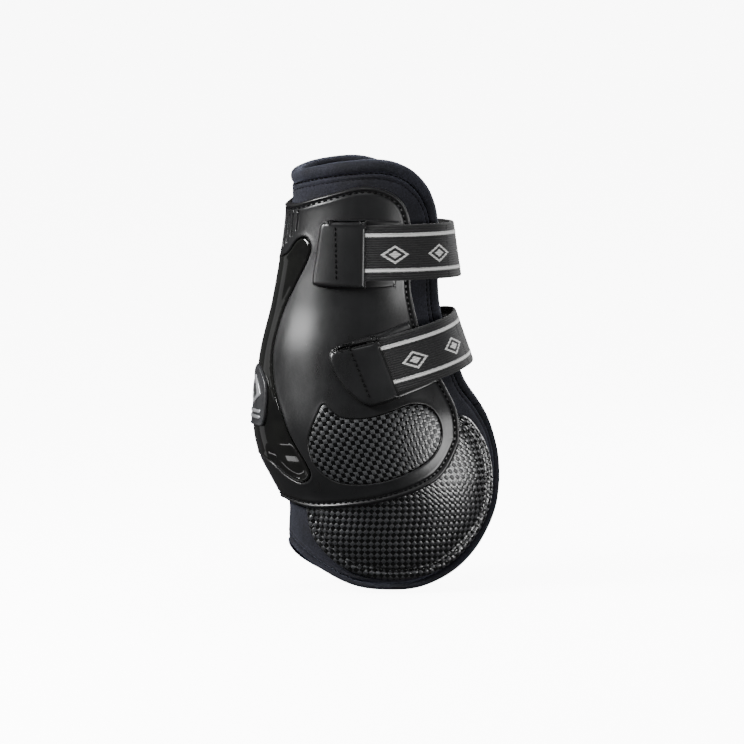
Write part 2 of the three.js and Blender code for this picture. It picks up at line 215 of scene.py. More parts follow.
def inside(points, loop):
    """Which points are inside a flat loop."""
    x, y = points[:, 0][:, None], points[:, 1][:, None]
    x0, y0 = loop[:, 0][None], loop[:, 1][None]
    x1, y1 = np.roll(loop[:, 0], -1)[None], np.roll(loop[:, 1], -1)[None]
    out = np.zeros(len(points), bool)
    for k in range(0, len(points), 4000):
        xs, ys = x[k:k + 4000], y[k:k + 4000]
        cross = (y0 > ys) != (y1 > ys)
        with np.errstate(divide="ignore", invalid="ignore"):
            at = (x1 - x0) * (ys - y0) / (y1 - y0) + x0
        out[k:k + 4000] = np.sum(cross & (xs < at), axis=1) % 2 == 1
    return out


def distance_to(points, loop, closed=True):
    """How far points are from a flat line."""
    a, b = (loop, np.roll(loop, -1, 0)) if closed else (loop[:-1], loop[1:])
    ab = b - a
    squared = np.maximum((ab**2).sum(1), 1e-12)
    out = np.empty(len(points))
    for k in range(0, len(points), 3000):
        p = points[k:k + 3000][:, None]
        t = np.clip(((p - a[None]) * ab[None]).sum(-1) / squared, 0, 1)
        out[k:k + 3000] = np.sqrt((((a[None] + t[..., None] * ab[None]) - p)**2).sum(-1).min(1))
    return out


def smoothstep(x, low, high):
    t = np.clip((np.asarray(x, float) - low) / (high - low), 0, 1)
    return t * t * (3 - 2 * t)


def mix(a, b, t):
    return a + (b - a) * t


def rnd(*seed):
    """A random generator that repeats itself."""
    return np.random.default_rng(list(seed))


def ripple(x, y, scale, seed=0):
    """Smooth repeatable noise from -1 to 1, of features about scale mm."""
    r = rnd(seed, 77)
    out = 0
    for _ in range(7):
        a = r.uniform(0, 2 * math.pi)
        k = r.uniform(0.6, 1.5) * 2 * math.pi / scale
        out = out + np.sin((x * math.cos(a) + y * math.sin(a)) * k + r.uniform(0, 6.28))
    return out / 3.5


# ---- meshes
UV_PER_MM, MM_PER_UV = 0.01, 100.0
BACK_CELL = 4.0  # mesh size of faces that are hardly seen, in mm


def make_object(name, verts, faces, skin, body="boot", slot=None, replaces=(), uv=None):
    """A smooth object from points in millimetres, in the material called skin, riding on body if there is one."""
    mesh = bpy.data.meshes.new(name)
    mesh.from_pydata((np.asarray(verts) * MM).tolist(), [], [list(map(int, f)) for f in faces])
    mesh.validate()
    mesh.shade_smooth()
    if uv is not None:
        layer = mesh.uv_layers.new(name="weave")
        loops = np.zeros(len(mesh.loops), np.int32)
        mesh.loops.foreach_get("vertex_index", loops)
        layer.data.foreach_set("uv", (np.asarray(uv)[loops] * UV_PER_MM).astype(np.float32).ravel())
    mesh.materials.append(MATERIALS[skin])
    obj = bpy.data.objects.new(name, mesh)
    bpy.context.scene.collection.objects.link(obj)
    if body:
        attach(obj, body)
    if replaces:
        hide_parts(*replaces)
    return obj


def triangulate(loops, rings, points):
    """Triangles over the loops, the rings inside them and loose points.

    Returns points, faces and the place of each point in the lists given, or -1."""
    verts, edges = [], []
    for ring in [*loops, *rings]:
        k = len(verts)
        verts += [tuple(p) for p in ring]
        edges += [(k + i, k + (i + 1) % len(ring)) for i in range(len(ring))]
    verts += [tuple(p) for p in points]
    out, _, faces, origin, _, _ = delaunay_2d_cdt([Vector(v) for v in verts], edges, [], 0, 1e-4)
    at = np.array([(v.x, v.y) for v in out])
    faces = np.array([f for f in faces if len(f) == 3])
    middle = at[faces].mean(1)
    keep = inside(middle, loops[0])
    for hole in loops[1:]:
        keep &= ~inside(middle, hole)
    source = np.array([o[0] if o else -1 for o in origin])
    return at, faces[keep], source


def field(value):
    """A height given as a number or a function of flat points, as a function."""
    return value if callable(value) else lambda p: np.full(len(p), float(value))


def grid_points(loop, cell, row, shift=0.0):
    """A grid over a loop's box, with every second row shifted."""
    low, high = loop.min(0), loop.max(0)
    start = low + cell / 2
    x, y = np.meshgrid(np.arange(start[0], high[0], cell), np.arange(start[1], high[1], row))
    x = x + (np.arange(len(y)) % 2)[:, None] * shift
    return np.stack([x.ravel(), y.ravel()], -1)


def with_room(points, outline, margin, holes):
    """The points inside the outline and outside the holes, and further from each than its margin."""
    points = points[inside(points, outline)]
    keep = distance_to(points, outline) > margin
    for line, hole_margin in holes:
        keep &= ~inside(points, line) & (distance_to(points, line) > hole_margin)
    return points[keep]


def edge_places(source, count, first=0):
    """Where the first count points given to triangulate are among its points."""
    return {int(o): i + first for i, o in enumerate(source) if 0 <= o < count}


def plate(name, mapper, loops, profiles, top, bottom, cell, skin, body="boot", relief=None, marks=(), step=1.0,
          lattice=None, back_share=0.0, pattern=lambda p: p, **more):
    """A closed sheet over a flat outline, from bottom to top, each a number or a function of flat points.

    loops are flat closed lines, the outline and then any holes. Each has a profile, a list of (distance from
    the edge, height above top). relief adds height within the profiles. marks are (closed line, profile)
    grooves or ridges. cell is the mesh size, and lattice takes the place of its grid. back_share gives the
    back the front's triangles and that share of its rounding. pattern turns flat points into the weave's
    coordinates."""
    loops = [resample(loop, step, True) for loop in loops]
    loops = [loop if (area(loop) > 0) == (k == 0) else loop[::-1] for k, loop in enumerate(loops)]
    marks = [(counter_clockwise(line), profile) for line, profile in marks]
    outline = loops[0]
    heights = [np.full(len(loop), profile[0][1]) for loop, profile in zip(loops, profiles)]
    rings = []
    for line, profile in [*((loop, profile[1:]) for loop, profile in zip(loops, profiles)), *marks]:
        for away, height in profile:
            rings.append(line + normals(line, True) * away)
            heights.append(np.full(len(line), height))
    room = min(cell, 1.2)
    margins = [profile[-1][0] + 0.45 * room for profile in profiles]
    holes = [*zip(loops[1:], margins[1:]), *((line, 0.4 * room) for line, _ in marks)]
    grid = grid_points(outline, cell, cell * 0.87, cell / 2) if lattice is None else lattice
    grid = with_room(grid, outline, margins[0], holes)
    at, faces, source = triangulate(loops, rings, grid)
    listed = np.concatenate([*heights, np.zeros(len(grid))])
    rise = np.where(source >= 0, listed[source], 0)
    z_top = field(top)(at) + rise
    if relief is not None:
        z_top = z_top + relief(at) * np.where(source >= len(listed) - len(grid), 1.0, 0.0)

    count = sum(len(loop) for loop in loops)
    front = edge_places(source, count)
    if back_share:
        back_at, back_faces = at, faces
        z_back = field(bottom)(at) - np.minimum(rise, 0) * back_share
        back = {k: i + len(at) for k, i in front.items()}
    else:
        margin = BACK_CELL * 0.4
        coarse = with_room(grid_points(outline, BACK_CELL, BACK_CELL), outline, margin,
                           [(hole, margin) for hole in loops[1:]])
        back_at, back_faces, back_source = triangulate(loops, [], coarse)
        z_back = field(bottom)(back_at)
        back = edge_places(back_source, count, len(at))
    walls = []
    first = 0
    for loop in loops:
        for i in range(len(loop)):
            a, b = first + i, first + (i + 1) % len(loop)
            if a in front and b in front and a in back and b in back:
                walls.append((front[b], front[a], back[a]))
                walls.append((front[b], back[a], back[b]))
        first += len(loop)
    verts = np.concatenate([mapper.place(at, z_top), mapper.place(back_at, z_back)])
    all_faces = np.concatenate([faces, back_faces[:, ::-1] + len(at), np.array(walls)])
    uv = pattern(np.concatenate([at, back_at]))
    return make_object(name, verts, all_faces, skin, body, uv=uv, **more)


def with_ends(rows):
    """Rows of points, then the first and last rows again, and the middle of each."""
    first, last = rows[0], rows[-1]
    return np.concatenate([rows.reshape(-1, rows.shape[-1]), first, last, [first.mean(0)], [last.mean(0)]])


def tube(name, points, skin, body="boot", uv=None, **more):
    """A closed tube of quads from points[along, round], with flat ends."""
    rows, sides = points.shape[:2]
    faces = []
    for i in range(rows - 1):
        for j in range(sides):
            a, b = i * sides + j, i * sides + (j + 1) % sides
            faces.append((a, b, b + sides, a + sides))
    first, last = rows * sides, (rows + 1) * sides
    middle = (rows + 2) * sides
    for j in range(sides):
        k = (j + 1) % sides
        faces.append((middle, first + k, first + j))
        faces.append((middle + 1, last + j, last + k))
    uv = None if uv is None else with_ends(uv)
    return make_object(name, with_ends(points), faces, skin, body, uv=uv, **more)


STITCH_SIDES = 6
STITCH_SHAPE = [(0.0, 0.0), (0.06, 0.62), (0.2, 0.95), (0.5, 1.0), (0.8, 0.95), (0.94, 0.62), (1.0, 0.0)]


def stitches(name, starts, ends, up, radius, slot, body):
    """Rounded, slightly arched rods from starts to ends, with up the way out of the surface."""
    verts, faces = [], []
    angles = np.arange(STITCH_SIDES) * 2 * math.pi / STITCH_SIDES
    for start, end, out in zip(starts, ends, up):
        run = end - start
        out = out / np.linalg.norm(out)
        side = np.cross(run / np.linalg.norm(run), out)
        k = len(verts)
        for share, r in STITCH_SHAPE:
            centre = start + run * share + out * (math.sin(math.pi * share) * radius * 0.8)
            if r == 0:
                verts.append(centre)
                continue
            for a in angles:
                verts.append(centre + (side * math.cos(a) + out * math.sin(a)) * radius * r)
        rows = len(STITCH_SHAPE) - 2
        last = k + 1 + (rows - 1) * STITCH_SIDES
        for j in range(STITCH_SIDES):
            after = (j + 1) % STITCH_SIDES
            faces.append((k, k + 1 + after, k + 1 + j))
            for i in range(rows - 1):
                a, b = k + 1 + i * STITCH_SIDES + j, k + 1 + i * STITCH_SIDES + after
                faces.append((a, b, b + STITCH_SIDES, a + STITCH_SIDES))
            faces.append((k + 1 + rows * STITCH_SIDES, last + j, last + after))
    make_object(name, verts, faces, "thread", body, slot=slot)


def stitch_row(name, mapper, line, height, size, slot, body="boot"):
    """Slightly uneven stitches along a flat line. size is their (pitch, length, radius)."""
    pitch, length, radius = size
    s = np.concatenate([[0], np.cumsum(np.linalg.norm(np.diff(line, axis=0), axis=1))])
    n = int(s[-1] / pitch)
    r = rnd(len(name), n)
    middle = (np.arange(n) + 0.5) * s[-1] / n
    half = length / 2 * (1 + 0.08 * r.standard_normal(n))
    wobble = r.standard_normal((n, 2)) * 0.12

    def along(at):
        return np.stack([np.interp(at, s, line[:, 0]), np.interp(at, s, line[:, 1])], -1)

    starts = mapper.place(along(middle - half) + wobble * 0.5, height)
    ends = mapper.place(along(middle + half) - wobble * 0.5, height)
    up = mapper.place(along(middle), height + 1.0) - mapper.place(along(middle), height)
    stitches(name, starts, ends, up, radius, slot, body)


# ---- material helpers
def principled(name, color, roughness, **values):
    """A new material. values are the shader's other inputs, with _ for each space."""
    m = bpy.data.materials.new(name)
    m.use_nodes = True
    nt = m.node_tree
    bsdf = nt.nodes["Principled BSDF"]
    bsdf.inputs["Base Color"].default_value = (*color, 1)
    bsdf.inputs["Roughness"].default_value = roughness
    for key, value in values.items():
        bsdf.inputs[key.replace("_", " ")].default_value = value
    return m, nt, bsdf


def node(nt, kind, **values):
    """A new node. values are inputs where it has one of that name, or else settings."""
    n = nt.nodes.new(kind)
    for key, value in values.items():
        if key in n.inputs:
            n.inputs[key].default_value = value
        else:
            setattr(n, key, value)
    return n


def math_node(nt, operation, a, b=None, clamp=False):
    n = nt.nodes.new("ShaderNodeMath")
    n.operation, n.use_clamp = operation, clamp
    for i, v in enumerate((a, b)):
        if v is None:
            continue
        if isinstance(v, (int, float)):
            n.inputs[i].default_value = v
        else:
            nt.links.new(v, n.inputs[i])
    return n.outputs[0]


def add(nt, a, b, clamp=False):
    return math_node(nt, "ADD", a, b, clamp)


def subtract(nt, a, b):
    return math_node(nt, "SUBTRACT", a, b)


def times(nt, a, b, clamp=False):
    return math_node(nt, "MULTIPLY", a, b, clamp)


def magnitude(nt, a):
    return math_node(nt, "ABSOLUTE", a)


def mapped(nt, vector, scale, location=(0, 0, 0)):
    n = node(nt, "ShaderNodeMapping", Scale=scale, Location=location)
    nt.links.new(vector, n.inputs["Vector"])
    return n.outputs[0]


def object_space(nt):
    return nt.nodes.new("ShaderNodeTexCoord").outputs["Object"]


def weave_space(nt):
    """Coordinates in the cloth: cells of a weave, or lengths along and across a strap."""
    return node(nt, "ShaderNodeUVMap", uv_map="weave").outputs[0]


def noise(nt, scale, detail=3, roughness=0.55, stretch=None):
    vector = object_space(nt)
    if stretch:
        vector = mapped(nt, vector, stretch)
    n = node(nt, "ShaderNodeTexNoise", Scale=scale, Detail=detail, Roughness=roughness)
    nt.links.new(vector, n.inputs["Vector"])
    return n.outputs["Fac"]


def ramp(nt, fac, stops):
    n = nt.nodes.new("ShaderNodeValToRGB")
    e = n.color_ramp.elements
    e[0].position, e[0].color = stops[0][0], (*stops[0][1], 1)
    e[1].position, e[1].color = stops[-1][0], (*stops[-1][1], 1)
    for position, color in stops[1:-1]:
        middle = e.new(position)
        middle.color = (*color, 1)
    nt.links.new(fac, n.inputs["Fac"])
    return n.outputs["Color"]


def vary(nt, fac, low, high, from_low=0.3, from_high=0.7):
    n = node(nt, "ShaderNodeMapRange", clamp=True)
    n.inputs["From Min"].default_value, n.inputs["From Max"].default_value = from_low, from_high
    n.inputs["To Min"].default_value, n.inputs["To Max"].default_value = low, high
    nt.links.new(fac, n.inputs["Value"])
    return n.outputs["Result"]


def bump(nt, bsdf, height, strength, depth):
    n = node(nt, "ShaderNodeBump", Strength=strength, Distance=depth)
    nt.links.new(height, n.inputs["Height"])
    nt.links.new(n.outputs["Normal"], bsdf.inputs["Normal"])


def colored(nt, bsdf, fac, stops):
    nt.links.new(ramp(nt, fac, stops), bsdf.inputs["Base Color"])


def roughened(nt, bsdf, value):
    nt.links.new(value, bsdf.inputs["Roughness"])


def scaled(color, k):
    return tuple(c * k for c in color)


# ---- materials
def knit(name, color):
    """The knitted face of neoprene: fine loops, a soft sheen and a slight blue cast."""
    m, nt, b = principled(name, color, 0.82, Sheen_Weight=0.16, Sheen_Roughness=0.45, Specular_IOR_Level=0.2)
    b.inputs["Sheen Tint"].default_value = (0.55, 0.6, 0.8, 1)
    big, fine = noise(nt, 55, 4), noise(nt, 1400, 2, 0.6)
    tone = add(nt, times(nt, big, 0.45), times(nt, fine, 0.55))
    colored(nt, b, tone, [(0.38, scaled(color, 0.4)), (0.5, color), (0.63, scaled(color, 2.3))])
    loops = node(nt, "ShaderNodeTexVoronoi", Scale=2340)
    nt.links.new(object_space(nt), loops.inputs["Vector"])
    bump(nt, b, add(nt, loops.outputs["Distance"], times(nt, fine, 0.8)), 0.5, 0.00025)
    roughened(nt, b, vary(nt, big, 0.74, 0.92))
    return m


def satin_elastomer():
    """The moulded shell: faint orange peel, small changes in gloss and fine scuffs."""
    color = (0.0075, 0.0076, 0.008)
    m, nt, b = principled("satin_elastomer", color, 0.34, Specular_IOR_Level=0.45)
    big, fine = noise(nt, 38, 5), noise(nt, 900, 3, 0.6)
    scuff = noise(nt, 260, 6, 0.7, stretch=(1, 1, 0.25))
    colored(nt, b, big, [(0.3, scaled(color, 0.8)), (0.72, scaled(color, 1.3))])
    roughened(nt, b, add(nt, vary(nt, big, 0.26, 0.33), vary(nt, scuff, -0.015, 0.035)))
    bump(nt, b, add(nt, fine, times(nt, scuff, 0.5)), 0.12, 0.0002)
    return m


def polished_insert():
    """A high-gloss moulding under a clear coat."""
    color, tint = (0.0035, 0.0036, 0.0036), (0.006, 0.0063, 0.0055)
    m, nt, b = principled("polished_insert", color, 0.1, Specular_IOR_Level=0.6, Coat_Weight=0.8,
                          Coat_Roughness=0.03)
    colored(nt, b, noise(nt, 60, 4), [(0.3, scaled(color, 0.7)), (0.7, tint)])
    roughened(nt, b, vary(nt, noise(nt, 420, 5), 0.05, 0.13))
    bump(nt, b, noise(nt, 45, 2), 0.05, 0.001)
    return m


def woven(name, color, rough, coat):
    """Lacquered weave. The tows are geometry. Every other one is glossier, and the ones between are rougher and
    painted lighter: painted shading of the tows that catch the light and those that don't.
    """
    m, nt, b = principled(name, color, rough, Specular_IOR_Level=0.6, Coat_Weight=coat, Coat_Roughness=0.16)
    checks = node(nt, "ShaderNodeTexChecker", Scale=1.0)
    cells = mapped(nt, weave_space(nt), (MM_PER_UV, MM_PER_UV, 1), (0.5, 0.5, 0.5))
    nt.links.new(cells, checks.inputs["Vector"])
    over = checks.outputs["Fac"]
    big, fine = noise(nt, 70, 4), noise(nt, 2200, 2)
    tone = add(nt, times(nt, big, 0.35), times(nt, fine, 0.25))
    # The checker paints every other tow lighter and the rest darker: painted shading of tows that catch the light
    # and tows that don't.
    tone = add(nt, tone, times(nt, over, 0.4))
    colored(nt, b, tone, [(0.34, scaled(color, 0.08)), (0.68, scaled(color, 1.8))])
    roughened(nt, b, add(nt, vary(nt, big, rough, rough + 0.1), vary(nt, over, -0.12, 0.15, 0.0, 1.0)))
    bump(nt, b, fine, 0.22, 0.00018)
    return m


STRIPE_AT, STRIPE_HALF = 9.1, 1.0
MOTIF_PITCH, MOTIF_START, MOTIF_SHAPE = 27.0, 2700.0 - 3.4, 0.62
MOTIF_REACHES = (4.9, 3.7, 2.1)  # the ring's outside and inside, and the core


def webbing_marks(nt, along, across, frayed):
    """A mask of two stripes and a row of plain lozenges, from lengths in millimetres."""
    from_stripe = magnitude(nt, subtract(nt, add(nt, magnitude(nt, across), frayed), STRIPE_AT))
    stripes = times(nt, subtract(nt, STRIPE_HALF, from_stripe), 6.0, True)
    repeat = math_node(nt, "MODULO", add(nt, along, MOTIF_START), MOTIF_PITCH)
    off_centre = magnitude(nt, subtract(nt, repeat, MOTIF_PITCH / 2))
    reach = add(nt, times(nt, off_centre, MOTIF_SHAPE), magnitude(nt, add(nt, across, 1.0)))
    reach = add(nt, reach, frayed)
    outer, middle, core = (times(nt, subtract(nt, r, reach), 5.0, True) for r in MOTIF_REACHES)
    motif = add(nt, subtract(nt, outer, middle), core, True)
    return math_node(nt, "MAXIMUM", stripes, motif)


def elastic_webbing():
    """Black elastic with marks woven in pale thread. Its ribs are geometry."""
    color, pale = (0.0105, 0.0105, 0.0108), (0.52, 0.52, 0.51)
    m, nt, b = principled("elastic_webbing", color, 0.8, Sheen_Weight=0.16, Sheen_Roughness=0.4,
                          Specular_IOR_Level=0.3)
    uv = weave_space(nt)
    parts = nt.nodes.new("ShaderNodeSeparateXYZ")
    nt.links.new(uv, parts.inputs[0])
    along, across = (times(nt, parts.outputs[k], MM_PER_UV) for k in (0, 1))
    frayed = times(nt, subtract(nt, noise(nt, 1500, 2), 0.5), 0.55)
    marks = webbing_marks(nt, along, across, frayed)
    thread = node(nt, "ShaderNodeTexWave", wave_type="BANDS", bands_direction="Y", Scale=1.0, Distortion=0.6)
    nt.links.new(mapped(nt, uv, (8, 26, 1)), thread.inputs["Vector"])
    tone = add(nt, times(nt, thread.outputs["Fac"], 0.5), times(nt, noise(nt, 1200, 3), 0.5))
    dark = ramp(nt, tone, [(0.2, scaled(color, 0.45)), (0.5, color), (0.85, scaled(color, 2.1))])
    light = ramp(nt, tone, [(0.15, scaled(pale, 0.6)), (0.75, scaled(pale, 1.15))])
    blend = node(nt, "ShaderNodeMix", data_type="RGBA")
    nt.links.new(marks, blend.inputs["Factor"])
    nt.links.new(dark, blend.inputs["A"])
    nt.links.new(light, blend.inputs["B"])
    nt.links.new(blend.outputs["Result"], b.inputs["Base Color"])
    bump(nt, b, tone, 0.35, 0.0002)
    return m


def grainy(name, color, rough, grain):
    """Matte fibres: thread, and hook and loop tape."""
    m, nt, b = principled(name, color, rough, Specular_IOR_Level=0.12)
    fine = noise(nt, grain, 3)
    colored(nt, b, fine, [(0.3, scaled(color, 0.6)), (0.7, scaled(color, 2.0))])
    bump(nt, b, fine, 0.7, 0.0004)
    return m


def badge_plastic(name, color, metallic):
    m, nt, b = principled(name, color, 0.36, Metallic=metallic, Specular_IOR_Level=0.5)
    colored(nt, b, noise(nt, 150, 5), [(0.3, scaled(color, 0.7)), (0.7, scaled(color, 1.4))])
    roughened(nt, b, vary(nt, noise(nt, 900, 3), 0.28, 0.44))
    bump(nt, b, noise(nt, 1100, 2), 0.15, 0.0002)
    return m


MATERIALS = {
    "neoprene": knit("neoprene_knit", (0.0066, 0.0068, 0.0096)),
    "binding": knit("binding_knit", (0.0072, 0.0075, 0.0106)),
    "shell": satin_elastomer(),
    "gloss": polished_insert(),
    "inlay": woven("woven_inlay", (0.012, 0.0125, 0.0135), 0.27, 0.0),
    "guard": woven("woven_guard", (0.0095, 0.01, 0.011), 0.23, 0.3),
    "webbing": elastic_webbing(),
    "thread": grainy("thread", (0.0014, 0.0014, 0.0016), 0.8, 2600),
    "tape": grainy("hook_loop", (0.006, 0.006, 0.007), 0.95, 1300),
    "badge": badge_plastic("badge", (0.022, 0.0225, 0.024), 0.1),
    "relief": badge_plastic("badge_relief", (0.3, 0.305, 0.315), 0.55),
}

# ---- dimensions and outlines as in the CAD, each point (turn, height)
GAP, LINER, SHELL = 0.4, 5.0, 3.0
SHELL_OUT = GAP + SHELL
TOP_EDGE = [(0, 217), (30, 219.8), (60, 222.7), (90, 223.8), (112, 220), (130, 211.3), (142, 200),
            (146.5, 188)]
FRONT_EDGE = [(148, 72), (148, 84), (144.5, 98), (141.5, 109), (144, 121), (146, 158), (146.5, 188)]
BOTTOM_EDGE = [(0, 23), (15, 17.5), (34, 9.5), (55, 2), (76, 0), (95, 1.4), (115, 9), (130, 20), (140, 33.5),
               (146, 52), (148, 72)]
SHELL_TOP = [(0, 200.5), (20, 201), (45, 205), (75, 210), (94, 207.5), (106, 200.5), (111.5, 189)]
SHELL_FRONT = [(118, 78), (120.5, 90), (120.5, 104), (115.5, 142), (112.5, 160), (111.5, 189)]
SHELL_BOTTOM = [(0, 46.5), (15, 44.5), (35, 43), (61, 45.4), (78, 48.8), (94, 54.3), (106, 61.8), (118, 78)]
GUARD_EDGE = [(24.5, 41), (28.5, 31.5), (37.5, 20.5), (50, 11.8), (66, 7), (84, 6), (103, 9.4), (118.5, 18),
              (130.5, 30.5), (136.5, 45.5), (138.3, 61), (136.6, 76.5), (131, 87.5), (125, 91.5)]
GUARD_TOP = [(24.5, 45), (44, 45.5), (61, 47.5), (78, 51), (94, 56.5), (107, 64.5), (117.5, 79), (120.5, 90)]
INLAY = [(54.5, 98), (49.5, 88.5), (45.5, 77), (46, 66), (52, 59), (62, 57), (76, 58.6), (90, 63.4),
         (101, 70), (108, 79), (109.5, 88), (106, 96), (98, 98), (88, 95), (76, 91.3), (64, 91.3), (58, 95.5)]
INSERT = [(0, 172), (14, 175), (24, 181.5), (33, 183), (38.5, 178), (36, 170), (29, 159), (21, 146),
          (18.6, 132), (19.5, 119), (24, 104), (31, 90), (38, 75), (41, 65), (38.5, 59.5), (31, 57), (23, 60),
          (14, 67), (0, 70)]
BADGE = [(0, 117), (7.5, 114.2), (14.5, 109.5), (17.2, 103), (17, 92), (15.5, 86.2), (13, 85)]
GROOVES, GROOVE_TOP = [(0, 178), (9, 180), (15.5, 183.5), (22.5, 187)], 196.3  # (turn, lower end), upper end
WRAP = Leg(0)


def mirrored(side):
    """A closed line from one side's line, which starts and ends on the spine or the front of the boot."""
    return np.concatenate([side, mirror(side)[::-1][1:-1]])


def wrap_loop(bottom, front, top):
    """A flat outline from edge lines given for one side."""
    return WRAP.flat(mirrored(np.concatenate([spline(bottom), spline(front)[1:], spline(top)[::-1][1:]])))


def even_loop(loop, step):
    """A counter-clockwise loop with points about step apart."""
    return counter_clockwise(resample(loop, step, True))


def grown(loop, by):
    """A counter-clockwise loop moved outwards."""
    return loop - normals(loop, True) * by


def stadium(a, b, r, n=7):
    """A closed line r away from the line between two points."""
    a, b = np.asarray(a, float), np.asarray(b, float)
    u = (b - a) / np.linalg.norm(b - a)
    v = np.array([-u[1], u[0]])
    half_turn = np.linspace(-math.pi / 2, math.pi / 2, n)
    end = [b + r * (u * math.cos(t) + v * math.sin(t)) for t in half_turn]
    start = [a - r * (u * math.cos(t) + v * math.sin(t)) for t in half_turn]
    shares = np.linspace(0, 1, 12)[1:-1]
    right = [end[-1] + (start[0] - end[-1]) * k for k in shares]
    left = [start[-1] + (end[0] - start[-1]) * k for k in shares]
    return np.array(end + right + start + left)


def rounded_box(x0, x1, y0, y1, r, taper=1.0, n=6):
    """A closed flat line round a box with round corners. taper narrows its far end."""
    points = []
    centres = ((x1 - r, y1 - r), (x0 + r, y1 - r), (x0 + r, y0 + r), (x1 - r, y0 + r))
    for (cx, cy), start in zip(centres, (0, 90, 180, 270)):
        for a in np.radians(np.linspace(start, start + 90, n)):
            points.append((cx + r * math.cos(a), cy + r * math.sin(a)))
    p = np.array(points)
    share = np.clip((p[:, 0] - x0) / (x1 - x0), 0, 1)
    p[:, 1] *= mix(1.0, taper, share**3)
    return p


# ---- neoprene: liner and rolled edges
edge_loop = even_loop(wrap_loop(BOTTOM_EDGE, FRONT_EDGE, TOP_EDGE), 1.0)
edge_normal = normals(edge_loop, True)
for _ in range(3):
    edge_normal = edge_normal + 0.5 * (np.roll(edge_normal, 1, 0) + np.roll(edge_normal, -1, 0))
    edge_normal /= np.linalg.norm(edge_normal, axis=1, keepdims=True)
binding_width = mix(3.6, 7.0, smoothstep(edge_loop[:, 1], 70, 150))


def within_edge(distance):
    """The boot's outline moved in by a distance for each of its points."""
    return edge_loop + edge_normal * distance[:, None]


def liner_relief(p):
    return 0.10 * ripple(p[:, 0], p[:, 1], 24, 1) + 0.05 * ripple(p[:, 0], p[:, 1], 9, 2)


LINER_EDGE = [(0, -1.9), (0.9, -1.3), (1.3, -0.35), (1.8, 0.24), (2.4, 0.3), (3.0, -0.05), (3.4, -0.35),
              (3.9, -0.02), (4.7, 0.16), (6.2, 0.05)]
liner = plate("liner", WRAP, [within_edge(binding_width - 0.5)], [LINER_EDGE], 0.0, -LINER, 2.6,
              "neoprene", relief=liner_relief, back_share=0.7, step=1.2, replaces=["neoprene_liner"])

# The roll's section: (share of the width, share of the thickness) on the outside.
ROLL_SHAPE = [(0.0, 0.0), (0.04, 0.42), (0.12, 0.72), (0.25, 0.93), (0.42, 1.0), (0.6, 0.98), (0.76, 0.88),
              (0.89, 0.66), (0.97, 0.36), (1.0, 0.0)]
ROLL_INSIDE = 0.92


def roll(name, keep, replaced):
    """The rolled edge along part of the outline, as a soft closed tube. Returns where it is in edge_loop."""
    index = np.where(keep)[0]
    cuts = np.where(np.diff(index) > 1)[0]
    if len(cuts):
        index = np.concatenate([index[cuts[0] + 1:], index[:cuts[0] + 1]])
    base, out, width = edge_loop[index], edge_normal[index], binding_width[index]
    s = np.arange(len(index)) * 1.0
    profile = ROLL_SHAPE + [(x, -y * ROLL_INSIDE) for x, y in ROLL_SHAPE[1:-1]][::-1]
    points = np.zeros((len(index), len(profile), 3))
    pucker = 0.09 * np.sin(s * 2 * math.pi / 3.1) + 0.08 * ripple(s, s * 0, 13, 5)
    for j, (x, y) in enumerate(profile):
        near_seam = smoothstep(x, 0.45, 0.95)
        thick = LINER / 2 + 1.25 + pucker * near_seam + 0.06 * ripple(s, s * 0 + x * 6, 21, 6)
        points[:, j] = WRAP.place(base + out * (width * x)[:, None], -LINER / 2 + y * thick)
    obj = tube(name, points[:, ::-1], "binding", replaces=[replaced])
    return index


collar = roll("collar_roll", edge_loop[:, 1] > 98.2, "collar_binding")
roll("flap_roll", edge_loop[:, 1] < 97.8, "flap_binding")
stitch_row("collar_stitching", WRAP, within_edge(binding_width + 0.1)[collar][4:-4], -0.45, (2.7, 1.9, 0.3),
           "binding")
stitch_row("collar_second_stitching", WRAP, within_edge(binding_width + 3.05)[collar][6:-6], -0.1,
           (2.7, 1.9, 0.22), "neoprene")

# ---- moulded shell
GROOVE = [(0.0, 0.0), (0.12, -0.05), (0.3, -0.45), (0.55, -0.9), (0.8, -1.0)]
SHELL_EDGE = [(0, -1.5), (0.16, -0.75), (0.42, -0.12), (0.8, 0.3), (1.25, 0.46), (1.7, 0.34), (2.05, -0.02),
              (2.3, -0.32), (2.8, -0.42), (3.3, -0.32), (3.65, -0.04), (4.1, 0.12), (5.0, 0.04)]
WINDOW_EDGE = [(0, -1.1), (0.12, -0.55), (0.35, -0.12), (0.7, 0.12), (1.2, 0.14), (1.9, 0.03)]
RECESS_EDGE = [(0, -0.8), (0.08, -0.3), (0.25, 0.0), (0.6, 0.1), (1.1, 0.06), (1.7, 0.0)]
shell_loop = wrap_loop(SHELL_BOTTOM, SHELL_FRONT, SHELL_TOP)
insert_loop = even_loop(WRAP.flat(mirrored(spline(INSERT))), 0.8)
recess = grown(even_loop(WRAP.flat(spline(INLAY, closed=True)), 0.8), 0.12)

grooves = []
for turn, low in GROOVES:
    for sign in ((1,) if turn == 0 else (1, -1)):
        start, end = WRAP.flat([(sign * turn, low), (sign * turn, GROOVE_TOP)])
        grooves.append((stadium(start, end, 1.0), GROOVE))
plate("shell", WRAP, [shell_loop, grown(insert_loop, 0.35), recess, mirror(recess)],
      [SHELL_EDGE, WINDOW_EDGE, RECESS_EDGE, RECESS_EDGE], SHELL_OUT, GAP, 2.2, "shell", marks=grooves, step=0.9,
      replaces=["moulded_shell"])
channel = grown(even_loop(shell_loop, 0.9), -2.8)
channel = np.concatenate([channel, channel[:1]])
stitch_row("shell_stitching", WRAP, channel, SHELL_OUT - 0.4, (3.1, 2.2, 0.42), "moulded_shell")


